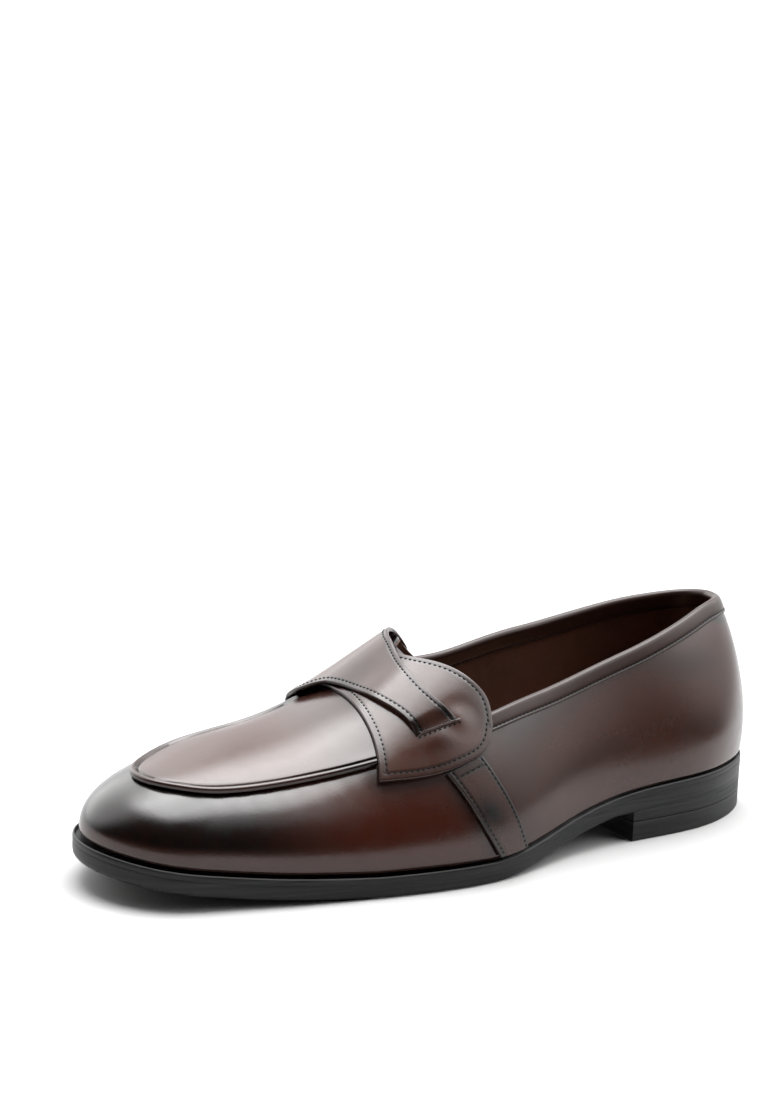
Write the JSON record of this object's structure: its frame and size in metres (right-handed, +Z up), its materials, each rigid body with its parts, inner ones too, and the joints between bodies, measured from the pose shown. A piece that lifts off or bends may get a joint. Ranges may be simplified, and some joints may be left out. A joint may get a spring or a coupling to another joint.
{
  "type": "gurkha loafer",
  "caption": "Left leather loafer with a raised apron, a wing on the instep, a strap that crosses it, side strips, collar binding and a low heeled rubber sole.",
  "frame": {"origin": "centre of the shoe's box at floor level", "axes": "+X toward the toe, +Y toward the lateral (outer) side, +Z up"},
  "size_m": [0.3004, 0.1036, 0.0934],
  "materials": {
    "upper": "burnished dark brown calf, satin",
    "apron": "burnished dark brown calf, satin",
    "wing": "burnished dark brown calf, satin",
    "strap": "burnished dark brown calf, satin",
    "strip": "burnished dark brown calf, satin",
    "binding": "dark brown calf, satin",
    "insole": "plain brown lining leather, matt",
    "outsole": "black, satin",
    "heel": "black, satin",
    "lift": "black, matt"
  },
  "bodies": {
    "root": {"upper": "upper", "apron": "apron", "wing": "wing", "strap": "strap", "strip_lateral": "strip", "strip_medial": "strip", "binding": "binding", "insole": "insole", "outsole": "outsole", "heel": "heel", "lift": "lift"}
  },
  "joints": []
}
